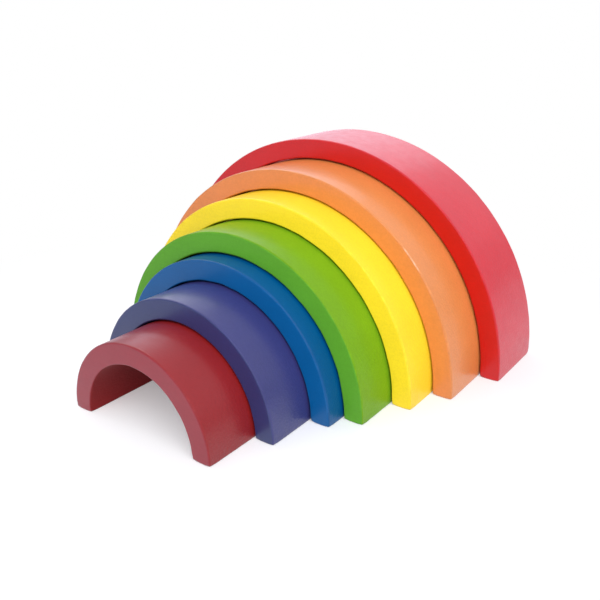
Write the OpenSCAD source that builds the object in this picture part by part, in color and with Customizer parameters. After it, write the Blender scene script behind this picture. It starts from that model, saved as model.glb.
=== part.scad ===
// Rainbow stacker: seven painted half-round arches that nest, each drawn forward out of the next larger one.
// Millimetres. The floor is Z = 0, the arches span X, and they slide along Y with the smallest at the front.

/* [Arches] */
// Clear width of the tunnel under the smallest arch
tunnel_width = 74; // [30:1:160]
// Thickness of every arch, from its inner curve to its outer curve
wall = 11.8; // [6:0.1:20]
// Length of every arch, from its front face to its back face
depth = 48; // [20:1:90]
// Clearance between an arch and the next one, all the way round
nest_gap = 0.9; // [0.5:0.1:3]
// Radius of the rounding on every edge
edge_radius = 0.8; // [0.5:0.1:2.8]

/* [Set-out] */
// Share of its depth by which the maroon arch stands out of the purple one
maroon_out_share = 0.66; // [0:0.01:0.95]
// Share of its depth by which the purple arch stands out of the blue one
purple_out_share = 0.62; // [0:0.01:0.95]
// Share of its depth by which the blue arch stands out of the green one
blue_out_share = 0.25; // [0:0.01:0.95]
// Share of its depth by which the green arch stands out of the yellow one
green_out_share = 0.58; // [0:0.01:0.95]
// Share of its depth by which the yellow arch stands out of the orange one
yellow_out_share = 0.48; // [0:0.01:0.95]
// Share of its depth by which the orange arch stands out of the red one
orange_out_share = 0.73; // [0:0.01:0.95]

/* [Hidden] */
// The sub-parts, from the smallest arch to the largest; an arch's place is its index here
NODES = [
    "maroon_arch", "purple_arch", "blue_arch", "green_arch", "yellow_arch", "orange_arch", "red_arch",
];
$fn = 128;

// How far each arch stands out of the next larger one; the largest has none round it
out_shares = [
    maroon_out_share,
    purple_out_share,
    blue_out_share,
    green_out_share,
    yellow_out_share,
    orange_out_share,
];

// Share of the depth by which the smallest arch stands out of the one at a place, all steps added up
function total_share(place) = place == 0 ? 0 : total_share(place - 1) + out_shares[place - 1];

// The whole set lies half in front of and half behind the origin
largest = len(NODES) - 1;
set_length = depth * (1 + total_share(largest));
function front(place) = depth * total_share(place) - set_length / 2;

// Each arch clears the next smaller one by the nesting gap
function inner_radius(place) = tunnel_width / 2 + place * (wall + nest_gap);
function outer_radius(place) = inner_radius(place) + wall;

// Cross-section of an arch, thickness by depth, with four rounded corners
module section() {
    translate([edge_radius, 0])
        square([wall - 2 * edge_radius, depth]);
    translate([0, edge_radius])
        square([wall, depth - 2 * edge_radius]);
    for (x = [edge_radius, wall - edge_radius], y = [edge_radius, depth - edge_radius])
        translate([x, y])
            circle(edge_radius);
}

// Half-round band of an arch, the section carried over from foot to foot
module band(place) {
    translate([0, depth, edge_radius])
        rotate([90, 0, 0])
            rotate_extrude(angle = 180)
                translate([inner_radius(place), 0])
                    section();
}

// Foot of an arch: the lowest stretch of a leg, flat below, with the edges of its sole rounded
module foot() {
    sole_thickness = wall - 2 * edge_radius;
    sole_depth = depth - 2 * edge_radius;
    intersection() {
        cube([wall, depth, edge_radius]);
        union() {
            translate([edge_radius, edge_radius, 0])
                cube([sole_thickness, sole_depth, edge_radius]);
            for (y = [edge_radius, depth - edge_radius])
                translate([edge_radius, y, edge_radius])
                    rotate([0, 90, 0])
                        cylinder(h = sole_thickness, r = edge_radius);
            for (x = [edge_radius, wall - edge_radius])
                translate([x, edge_radius, edge_radius])
                    rotate([-90, 0, 0])
                        cylinder(h = sole_depth, r = edge_radius);
            for (x = [edge_radius, wall - edge_radius], y = [edge_radius, depth - edge_radius])
                translate([x, y, edge_radius])
                    sphere(edge_radius);
        }
    }
}

// One whole arch at its place in the set-out, on its two feet
module arch(place) {
    translate([0, front(place), 0]) {
        band(place);
        for (leg_left = [inner_radius(place), -outer_radius(place)])
            translate([leg_left, 0, 0])
                foot();
    }
}

module maroon_arch() { color("#96343c") arch(0); }
module purple_arch() { color("#4b3f76") arch(1); }
module blue_arch() { color("#20649d") arch(2); }
module green_arch() { color("#6fae35") arch(3); }
module yellow_arch() { color("#fbdc30") arch(4); }
module orange_arch() { color("#ef8a35") arch(5); }
module red_arch() { color("#d2201c") arch(6); }

maroon_arch();
purple_arch();
blue_arch();
green_arch();
yellow_arch();
orange_arch();
red_arch();
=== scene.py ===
"""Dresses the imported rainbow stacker: seven hand-finished, painted wooden arches on a white studio floor."""

import math

import bpy
import numpy as np
from mathutils import Matrix, Vector, noise


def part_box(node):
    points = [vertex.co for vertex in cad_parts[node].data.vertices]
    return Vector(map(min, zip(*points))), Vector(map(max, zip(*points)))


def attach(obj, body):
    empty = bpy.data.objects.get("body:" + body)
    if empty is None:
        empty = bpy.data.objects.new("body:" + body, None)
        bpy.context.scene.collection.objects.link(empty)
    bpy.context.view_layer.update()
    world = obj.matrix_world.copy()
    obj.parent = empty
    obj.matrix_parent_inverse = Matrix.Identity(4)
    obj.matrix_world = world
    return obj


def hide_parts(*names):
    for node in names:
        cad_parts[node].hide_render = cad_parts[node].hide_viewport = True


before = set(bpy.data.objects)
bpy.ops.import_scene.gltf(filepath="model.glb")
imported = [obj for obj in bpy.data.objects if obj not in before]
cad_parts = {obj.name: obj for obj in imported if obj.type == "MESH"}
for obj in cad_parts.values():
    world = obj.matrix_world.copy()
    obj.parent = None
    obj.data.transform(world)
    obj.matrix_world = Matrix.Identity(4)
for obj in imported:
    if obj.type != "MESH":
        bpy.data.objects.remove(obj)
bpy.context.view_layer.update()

MM = 0.001
WHITE = (1.0, 1.0, 1.0)
COOL_WHITE = (0.84, 0.86, 1.0)

# The arches, from the smallest to the largest: screen colour of the paint on the sawn faces, screen colour on
# the curves, and how strongly the paint shines
PAINTS = {
    "maroon": ("#902832", "#8c1e1f", 0.42),
    "purple": ("#283466", "#36376e", 0.50),
    "blue": ("#005994", "#005189", 0.27),
    "green": ("#5da22a", "#72a219", 0.15),
    "yellow": ("#ffdc2e", "#fbda30", 0.20),
    "orange": ("#d98243", "#df8a49", 0.50),
    "red": ("#c40000", "#d0202b", 0.52),
}

# Noises in the paint: features per metre, octaves, and how much the fine ones count
GRAIN_NOISE = (750, 3, 0.6)
PEEL_NOISE = (900, 1, 0.55)
MOTTLE_NOISE = (34, 3, 0.55)
# The rubbed noise varies the sheen, and places the painted shade and the painted highlight on the rims
RUBBED_AND_RIM_LIGHT_NOISE = (160, 4, 0.65)
# The grain runs along X, and each arch takes its noises from another place
GRAIN_STRETCH = (0.07, 1.0, 1.0)
PAINT_SHIFT = (1.0, 1.7, -1.0)

# What the noises do: the span of the noise, and the two values that its ends give
MOTTLE_SHADE_BAND = (0.30, 0.70, 0.97, 1.03)
GRAIN_SHADE_BAND = (0.35, 0.75, 1.00, 0.97)
PEEL_SHADE_BAND = (0.30, 0.70, 0.97, 1.03)
# The rim band paints shade along the rims, to tone down their highlights
RIM_PAINTED_SHADE_BAND = (0.35, 0.70, 0.20, 0.07)
ROUGHNESS_BAND = (0.25, 0.75, 0.29, 0.38)

# Clear coat over the paint, as a share of its shine, and the matte inner curves with a painted shade
REFRACTION = 1.5
COAT_SHARE = 0.5
COAT_ROUGHNESS = 0.16
INSIDE_ROUGHNESS = 0.8
INSIDE_PAINTED_SHADE = 0.8

# Relief of the grain with a share of fine peel; its strength grows with how far a face is turned sideways
RELIEF_HEIGHT = 0.25 * MM
PEEL_SHARE = 0.4
RELIEF_STRENGTH_BAND = (0.35, 0.95, 0.12, 0.90)

# A painted highlight on the front rim of one arch, a pale streak: its angle up from the right foot, where it
# fades out, and how much of the pale colour shows
HIGHLIGHTED_RIM_ARCH = "orange"
RIM_HIGHLIGHT_ANGLE = 42
RIM_HIGHLIGHT_REACH = (3 * MM, 9 * MM)
RIM_HIGHLIGHT_BAND = (0.40, 0.60, 0.10, 0.60)
RIM_HIGHLIGHT_COLOUR = "#f4dcc0"

# Mesh of an arch: lengths between rings, steps round its section, and the smallest corner left on its soles
RING_SPACING = 1.25 * MM
SUPPORT_INSET = 0.35 * MM
CORNER_STEPS = 7
ALONG_STEPS = 14
ACROSS_STEPS = 4
SOLE_STEPS = 7
SOLE_CORNER = 0.12 * MM

# Hand finish: how far and over what length the sanded faces and edges wander, and how much the edges lean
# to the worn side; each arch takes its wander from another place
FACE_WANDER = 0.05 * MM
FACE_WAVE = 28 * MM
EDGE_WANDER = 0.16 * MM
EDGE_WAVE = 7 * MM
EDGE_WEAR = 0.3
WANDER_SHIFT = (1.0, 2.7, -1.3)
# Corners of the soles: how far they are drawn in, and how far from the corner that fades out
CORNER_SANDING = 0.35 * MM
CORNER_REACH = 4 * MM

# Camera, fitted to the rims and feet in the photograph; angles in degrees
CAMERA_PLACE = (0.2534, -0.3093, 0.1996)
CAMERA_YAW = 36.44
CAMERA_PITCH = 21.83
CAMERA_ROLL = 0.23
CAMERA_CLIP = 1 * MM
FOCAL_PIXELS = 728.3
IMAGE_PIXELS = 600
SENSOR_WIDTH = 36.0

# Floor: its white for the light on the object and as it is seen, and how it runs on into the surroundings:
# between two distances from the origin, its share of their glow rises from FLOOR_GLOW to all
FLOOR_SIZE = 12.0
FLOOR_DROP = 0.02 * MM
FLOOR_WHITE = 0.65
FLOOR_SEEN_WHITE = 1.0
FLOOR_FADE = (0.06, 0.30)
FLOOR_GLOW = 0.22

# Surroundings: even light on the object, and their level in the gloss from the horizon up
AMBIENT_STRENGTH = 0.48
HORIZON_LEVEL = 0.5
HORIZON_RISE = (0.08, 0.34)

# Softboxes: place, width in metres, power in watts, colour, and whether the gloss shows them
LAMP_AIM = (0.0, 0.0, 0.05)
SOFTBOXES = {
    "key": ((0.82, -0.84, 1.00), 1.9, 29.0, WHITE, False),
    "top_left": ((-0.75, 0.10, 0.95), 1.0, 4.0, WHITE, True),
    "back_left": ((-0.62, 1.10, 0.42), 1.3, 3.8, COOL_WHITE, True),
}


def linear(colour):
    """A screen colour such as #aabbcc as linear red, green, blue and alpha, by the sRGB curve."""
    channels = [int(colour[i:i + 2], 16) / 255 for i in (1, 3, 5)]
    steps = [c / 12.92 if c <= 0.04045 else ((c + 0.055) / 1.055) ** 2.4 for c in channels]
    return (*steps, 1.0)


# Shapes

def arch_sizes(node):
    """Sizes of an arch, read from its CAD node: radii, wall, front, depth and edge rounding."""
    low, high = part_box(node)
    outer = (high.x - low.x) / 2
    edge = high.z - outer
    feet = [abs(v.co.x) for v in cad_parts[node].data.vertices if v.co.z <= edge]
    inner = min(feet)
    return {"inner": inner, "outer": outer, "wall": outer - inner, "front": low.y,
            "depth": high.y - low.y, "edge": edge}


def side_points(start, end, steps):
    """Points of a straight side without its ends, with one close to each end to keep the flat face flat."""
    length = np.linalg.norm(end - start)
    close = min(SUPPORT_INSET / length, 1 / (2 * steps)) if length > 0 else 0
    shares = [close, *np.linspace(0, 1, steps + 1)[1:-1], 1 - close]
    return [start + (end - start) * share for share in shares]


def corner_points(x, y, radius, first):
    """Points of a quarter circle round a centre, from a first angle in degrees."""
    turns = [math.radians(first + 90 * step / CORNER_STEPS) for step in range(CORNER_STEPS + 1)]
    return [np.array([x + radius * math.cos(turn), y + radius * math.sin(turn)]) for turn in turns]


def section_outline(size, inset):
    """Rounded rectangle, thickness by depth, drawn in by inset: places, and how far each lies on an edge."""
    edge = size["edge"]
    across = (edge, size["wall"] - edge)
    along = (edge, size["depth"] - edge)
    corners = [(across[0], along[0], 180), (across[1], along[0], 270),
               (across[1], along[1], 0), (across[0], along[1], 90)]
    arcs = [corner_points(x, y, edge - inset, first) for x, y, first in corners]
    places, rounds = [], []
    for index, arc in enumerate(arcs):
        places += arc
        rounds += [math.sin(math.pi * step / CORNER_STEPS) for step in range(CORNER_STEPS + 1)]
        steps = ACROSS_STEPS if index % 2 == 0 else ALONG_STEPS
        between = side_points(arc[-1], arcs[(index + 1) % len(arcs)][0], steps)
        places += between
        rounds += [0.0] * len(between)
    return np.array(places), np.array(rounds)


def sole_ring(size, side, turn):
    """Ring of one foot's rounded sole: flat below at a quarter turn, the leg's full section at none."""
    edge = size["edge"]
    inset = min(edge * (1 - math.cos(turn)), edge - SOLE_CORNER)
    places, rounds = section_outline(size, inset)
    x = side * (size["inner"] + places[:, 0])
    height = edge * (1 - math.sin(turn))
    points = np.stack([x, places[:, 1], np.full(len(x), height)], 1)
    return points, np.maximum(rounds * math.cos(turn), math.sin(2 * turn))


def bend_ring(size, angle):
    """Ring of the half-round band at an angle up from the right foot."""
    places, rounds = section_outline(size, 0)
    radius = size["inner"] + places[:, 0]
    points = np.stack([radius * math.cos(angle), places[:, 1], size["edge"] + radius * math.sin(angle)], 1)
    return points, rounds


def arch_rings(size):
    """Points and edge weights of an arch, ring by ring, from its right sole over the top to its left sole."""
    middle = size["inner"] + size["wall"] / 2
    bends = int(round(math.pi * middle / RING_SPACING))
    turns = [math.radians(90 * (1 - step / SOLE_STEPS)) for step in range(SOLE_STEPS)]
    rings = [sole_ring(size, 1, turn) for turn in turns]
    rings += [bend_ring(size, math.pi * step / bends) for step in range(bends + 1)]
    rings += [sole_ring(size, -1, turn) for turn in reversed(turns)]
    points, weights = zip(*rings)
    return np.array(points), np.array(weights)


def ring_faces(count, around):
    """Quads between neighbouring rings and a cap on each sole, all facing outwards."""
    faces = []
    for ring in range(count - 1):
        for k in range(around):
            following = (k + 1) % around
            faces.append((ring * around + k, ring * around + following,
                          (ring + 1) * around + following, (ring + 1) * around + k))
    faces.append(tuple(reversed(range(around))))
    faces.append(tuple(range((count - 1) * around, count * around)))
    return faces


def front_rim_place(size, angle):
    """Place on the outer front rim of an arch at an angle up from its right foot."""
    turn = math.radians(angle)
    return (size["outer"] * math.cos(turn), size["front"], size["edge"] + size["outer"] * math.sin(turn))


def soften_foot_corners(points, size):
    """Draws the corners of the two soles in, as sanding by hand does."""
    middle = np.array([(size["inner"] + size["outer"]) / 2, size["depth"] / 2])
    for side in (1, -1):
        for x in (size["inner"], size["outer"]):
            for y in (0.0, size["depth"]):
                inward = np.array([side * np.sign(middle[0] - x), np.sign(middle[1] - y), 1.0])
                distance = np.linalg.norm(points - np.array([side * x, y, 0.0]), axis=1)
                near = np.clip(1 - distance / CORNER_REACH, 0, 1)
                share = near * near * (3 - 2 * near)
                points += CORNER_SANDING * share[:, None] * inward / math.sqrt(3)


def wander(point, wave, seed):
    """Smooth noise from about -1 to 1 at a point, over a wave length."""
    return noise.noise(Vector(point) / wave + Vector([seed * step for step in WANDER_SHIFT]))


def sand_by_hand(mesh, weights, size, seed):
    """Lets the faces of an arch, and its edges more, wander along their normals; the soles stay level."""
    normals = [v.normal.copy() for v in mesh.vertices]
    for vertex, normal, weight in zip(mesh.vertices, normals, weights):
        place = vertex.co.copy()
        if place.z < size["edge"] / 2:
            continue
        shift = FACE_WANDER * wander(place, FACE_WAVE, seed)
        shift += weight * EDGE_WANDER * (wander(place, EDGE_WAVE, seed) - EDGE_WEAR)
        vertex.co = place + normal * shift


def add_weights(mesh, label, values):
    """Stores one number for each point of a mesh, for its material to read."""
    attribute = mesh.attributes.new(label, "FLOAT", "POINT")
    attribute.data.foreach_set("value", values.astype(np.float32))


def arch_mesh(name, size, seed):
    """Closed, hand-sanded mesh of one arch, which marks its edges, its inner curve and both its curves."""
    rings, weights = arch_rings(size)
    count, around = rings.shape[:2]
    points = rings.reshape(-1, 3)
    soften_foot_corners(points, size)
    points[:, 1] += size["front"]
    mesh = bpy.data.meshes.new(name)
    mesh.from_pydata(points.tolist(), [], ring_faces(count, around))
    across = np.tile(section_outline(size, 0)[0][:, 0], count)
    inside = across < size["edge"] / 2
    outside = across > size["wall"] - size["edge"] / 2
    add_weights(mesh, "edge", weights.reshape(-1))
    add_weights(mesh, "inside", inside)
    add_weights(mesh, "curved", inside | outside)
    mesh.update()
    sand_by_hand(mesh, weights.reshape(-1), size, seed)
    for polygon in mesh.polygons:
        polygon.use_smooth = True
    mesh.validate()
    return mesh


# Materials

class Nodes:
    """Short hand for building one node tree."""

    def __init__(self, tree):
        self.tree = tree
        self.tree.nodes.clear()

    def feed(self, socket, value):
        """Links a socket to another node's output, or sets it to a value."""
        if isinstance(value, bpy.types.NodeSocket):
            self.tree.links.new(value, socket)
        else:
            socket.default_value = value

    def add(self, kind, settings=None, **inputs):
        """Adds a node, sets its properties, and feeds its sockets, whose names have _ for each space."""
        node = self.tree.nodes.new(kind)
        for key, value in (settings or {}).items():
            setattr(node, key, value)
        for key, value in inputs.items():
            self.feed(node.inputs[key.replace("_", " ")], value)
        return node

    def attribute(self, label):
        """A number that the mesh stores for each of its points."""
        return self.add("ShaderNodeAttribute", {"attribute_name": label}).outputs["Fac"]

    def coordinates(self, kind):
        """Texture coordinates of a kind, such as Object or Normal."""
        return self.add("ShaderNodeTexCoord").outputs[kind]

    def noise(self, vector, scale, detail, roughness):
        """Noise from 0 to 1 round 0.5 over a place, with features of about one over scale metres."""
        found = self.add("ShaderNodeTexNoise", Vector=vector, Scale=scale, Detail=detail, Roughness=roughness)
        return found.outputs["Fac"]

    def band(self, value, low, high, out_low, out_high):
        """Value carried smoothly from one range to another and held at its ends."""
        settings = {"interpolation_type": "SMOOTHSTEP"}
        found = self.add("ShaderNodeMapRange", settings, Value=value, From_Min=low, From_Max=high,
                         To_Min=out_low, To_Max=out_high)
        return found.outputs["Result"]

    def math(self, operation, first, second):
        """First and second put together by a math operation."""
        found = self.add("ShaderNodeMath", {"operation": operation})
        self.feed(found.inputs[0], first)
        self.feed(found.inputs[1], second)
        return found.outputs["Value"]

    def blend(self, factor, first, second):
        """Colour between first and second."""
        found = self.add("ShaderNodeMix", {"data_type": "RGBA"})
        for key, value in (("Factor_Float", factor), ("A_Color", first), ("B_Color", second)):
            self.feed(next(s for s in found.inputs if s.identifier == key), value)
        return next(s for s in found.outputs if s.identifier == "Result_Color")


def new_material(name):
    """A new material, and its node tree to build."""
    material = bpy.data.materials.new(name)
    material.use_nodes = True
    return material, Nodes(material.node_tree)


def paint_noises(nodes, seed):
    """The noises that vary one arch's paint, by name."""
    shift = [seed * step for step in PAINT_SHIFT]
    coords = nodes.coordinates("Object")
    moved = nodes.add("ShaderNodeMapping", Vector=coords, Location=shift).outputs["Vector"]
    streaks = nodes.add("ShaderNodeMapping", Vector=moved, Scale=GRAIN_STRETCH).outputs["Vector"]
    return {
        "grain": nodes.noise(streaks, *GRAIN_NOISE),
        "peel": nodes.noise(moved, *PEEL_NOISE),
        "mottle": nodes.noise(moved, *MOTTLE_NOISE),
        "rubbed_and_rim_light": nodes.noise(moved, *RUBBED_AND_RIM_LIGHT_NOISE),
    }


def paint_shade(nodes, noises):
    """How light the paint is: mottling, faint grain and speckle, and painted shade on rims and inner curves.
    """
    mottled = nodes.band(noises["mottle"], *MOTTLE_SHADE_BAND)
    grained = nodes.math("MULTIPLY", mottled, nodes.band(noises["grain"], *GRAIN_SHADE_BAND))
    speckled = nodes.math("MULTIPLY", grained, nodes.band(noises["peel"], *PEEL_SHADE_BAND))
    # Painted shade along the rims, to tone down their highlights
    darkening = nodes.band(noises["rubbed_and_rim_light"], *RIM_PAINTED_SHADE_BAND)
    rim_painted_shade = nodes.math("MULTIPLY", nodes.attribute("edge"), darkening)
    rimmed = nodes.math("MULTIPLY", speckled, nodes.math("SUBTRACT", 1.0, rim_painted_shade))
    # Painted shade in the inner curves, for the hollow under each arch
    inner = nodes.band(nodes.attribute("inside"), 0.0, 1.0, 1.0, INSIDE_PAINTED_SHADE)
    return nodes.math("MULTIPLY", rimmed, inner)


def painted_highlight_share(nodes, rubbed_and_rim_light, place):
    """How much of a painted highlight streak shows round a place on a rim."""
    reach = nodes.add("ShaderNodeVectorMath", {"operation": "DISTANCE"}, Vector=nodes.coordinates("Object"))
    nodes.feed(reach.inputs[1], place)
    near = nodes.band(reach.outputs["Value"], *RIM_HIGHLIGHT_REACH, 1.0, 0.0)
    on_rim = nodes.math("MULTIPLY", nodes.attribute("edge"), near)
    return nodes.math("MULTIPLY", on_rim, nodes.band(rubbed_and_rim_light, *RIM_HIGHLIGHT_BAND))


def paint_relief(nodes, noises):
    """Bumped normal of grain and paint, strongest on the legs, where the grain ends."""
    height = nodes.math("ADD", noises["grain"], nodes.math("MULTIPLY", noises["peel"], PEEL_SHARE))
    sideways = nodes.add("ShaderNodeSeparateXYZ", Vector=nodes.coordinates("Normal")).outputs["X"]
    end_grain = nodes.math("MULTIPLY", sideways, sideways)
    strength = nodes.band(end_grain, *RELIEF_STRENGTH_BAND)
    bump = nodes.add("ShaderNodeBump", Height=height, Strength=strength, Distance=RELIEF_HEIGHT)
    return bump.outputs["Normal"]


def painted_wood(name, faces, curve, shine, seed, rim_highlight):
    """Satin paint over sanded wood, one colour on the faces and one on the curves, with a clear sheen."""
    material, nodes = new_material(name)
    noises = paint_noises(nodes, seed)
    inside = nodes.attribute("inside")
    paint = nodes.blend(nodes.attribute("curved"), linear(faces), linear(curve))
    shade = paint_shade(nodes, noises)
    shaded = nodes.add("ShaderNodeVectorMath", {"operation": "SCALE"}, Vector=paint, Scale=shade)
    body = shaded.outputs["Vector"]
    # Painted highlight: a pale streak on the front rim of one arch
    if rim_highlight is not None:
        body = nodes.blend(painted_highlight_share(nodes, noises["rubbed_and_rim_light"], rim_highlight), body, linear(RIM_HIGHLIGHT_COLOUR))
    satin = nodes.band(noises["rubbed_and_rim_light"], *ROUGHNESS_BAND)
    roughness = nodes.math("MAXIMUM", satin, nodes.math("MULTIPLY", inside, INSIDE_ROUGHNESS))
    coat = nodes.band(inside, 0.0, 1.0, COAT_SHARE * shine, 0.0)
    relief = paint_relief(nodes, noises)
    shader = nodes.add("ShaderNodeBsdfPrincipled", Base_Color=body, Roughness=roughness, Normal=relief,
                       IOR=REFRACTION, Specular_IOR_Level=shine, Coat_Weight=coat,
                       Coat_Roughness=COAT_ROUGHNESS)
    nodes.add("ShaderNodeOutputMaterial", Surface=shader.outputs["BSDF"])
    return material


def seen_directly(nodes):
    """1 for camera, glossy and transmission rays, which see the white studio, and 0 for the object's light."""
    path = nodes.add("ShaderNodeLightPath").outputs
    either = nodes.math("MAXIMUM", path["Is Camera Ray"], path["Is Glossy Ray"])
    return nodes.math("MAXIMUM", either, path["Is Transmission Ray"])


def studio_white(nodes):
    """Plain white for camera rays, and the studio's cooler white for all others."""
    to_camera = nodes.add("ShaderNodeLightPath").outputs["Is Camera Ray"]
    return nodes.blend(to_camera, (*COOL_WHITE, 1.0), (*WHITE, 1.0))


def studio_floor_material():
    """White floor that keeps the object's shadow and, further off, runs on into the white surroundings."""
    material, nodes = new_material("studio_floor")
    seen = seen_directly(nodes)
    white = nodes.band(seen, 0.0, 1.0, FLOOR_WHITE, FLOOR_SEEN_WHITE)
    near = nodes.add("ShaderNodeBsdfDiffuse", Color=white)
    far = nodes.add("ShaderNodeEmission", Color=studio_white(nodes))
    distance = nodes.add("ShaderNodeVectorMath", {"operation": "LENGTH"}, Vector=nodes.coordinates("Object"))
    glow = nodes.band(distance.outputs["Value"], *FLOOR_FADE, FLOOR_GLOW, 1.0)
    both = nodes.add("ShaderNodeMixShader", Fac=nodes.math("MULTIPLY", seen, glow))
    nodes.feed(both.inputs[1], near.outputs["BSDF"])
    nodes.feed(both.inputs[2], far.outputs["Emission"])
    nodes.add("ShaderNodeOutputMaterial", Surface=both.outputs["Shader"])
    return material


# Pieces

def add_object(name, data):
    """A new object with its data, in the scene."""
    made = bpy.data.objects.new(name, data)
    bpy.context.scene.collection.objects.link(made)
    return made


def make_arches():
    """The seven arches, each in place of its CAD node and on its own body."""
    for seed, (name, (faces, curve, shine)) in enumerate(PAINTS.items(), start=1):
        node = f"{name}_arch"
        size = arch_sizes(node)
        rim_highlight = front_rim_place(size, RIM_HIGHLIGHT_ANGLE) if name == HIGHLIGHTED_RIM_ARCH else None
        piece = add_object(f"{name}_painted_arch", arch_mesh(f"{name}_painted_arch", size, seed))
        piece.data.materials.append(painted_wood(f"{name}_paint", faces, curve, shine, seed, rim_highlight))
        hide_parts(node)
        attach(piece, name)


# Studio

def make_floor():
    """Wide level floor just under the feet."""
    half = FLOOR_SIZE / 2
    mesh = bpy.data.meshes.new("floor")
    corners = [(-half, -half, 0), (half, -half, 0), (half, half, 0), (-half, half, 0)]
    mesh.from_pydata(corners, [], [(0, 1, 2, 3)])
    mesh.materials.append(studio_floor_material())
    floor = add_object("floor", mesh)
    floor.location.z = -FLOOR_DROP


def make_world():
    """White surroundings for the camera, dimmer low down in the gloss, and a softer light on the object."""
    world = bpy.data.worlds.new("studio")
    world.use_nodes = True
    bpy.context.scene.world = world
    nodes = Nodes(world.node_tree)
    to_camera = nodes.add("ShaderNodeLightPath").outputs["Is Camera Ray"]
    height = nodes.add("ShaderNodeSeparateXYZ", Vector=nodes.coordinates("Generated")).outputs["Z"]
    in_gloss = nodes.band(height, *HORIZON_RISE, HORIZON_LEVEL, 1.0)
    seen = nodes.math("MAXIMUM", to_camera, in_gloss)
    level = nodes.add("ShaderNodeMapRange", Value=seen_directly(nodes), To_Min=AMBIENT_STRENGTH, To_Max=seen)
    strength = level.outputs["Result"]
    background = nodes.add("ShaderNodeBackground", Color=studio_white(nodes), Strength=strength)
    nodes.add("ShaderNodeOutputWorld", Surface=background.outputs["Background"])


def make_lights():
    """Round softboxes: a broad one above the camera, and two weak ones for the tops."""
    for name, (place, width, power, colour, in_gloss) in SOFTBOXES.items():
        light = bpy.data.lights.new(name, "AREA")
        light.shape = "DISK"
        light.size = width
        light.energy = power
        light.color = colour
        lamp = add_object(name, light)
        lamp.visible_glossy = in_gloss
        lamp.location = place
        lamp.rotation_euler = (Vector(LAMP_AIM) - Vector(place)).to_track_quat("-Z", "Y").to_euler()


def make_camera():
    """Camera at the photograph's viewing angle."""
    data = bpy.data.cameras.new("camera")
    data.sensor_width = SENSOR_WIDTH
    data.lens = SENSOR_WIDTH * FOCAL_PIXELS / IMAGE_PIXELS
    data.clip_start = CAMERA_CLIP
    camera = add_object("camera", data)
    turn = Matrix.Rotation(math.radians(CAMERA_YAW), 4, "Z")
    tilt = Matrix.Rotation(math.radians(90 - CAMERA_PITCH), 4, "X")
    roll = Matrix.Rotation(math.radians(-CAMERA_ROLL), 4, "Z")
    camera.matrix_world = Matrix.Translation(CAMERA_PLACE) @ turn @ tilt @ roll
    bpy.context.scene.camera = camera


make_arches()
make_floor()
make_world()
make_lights()
make_camera()
bpy.context.scene.view_settings.view_transform = "Standard"
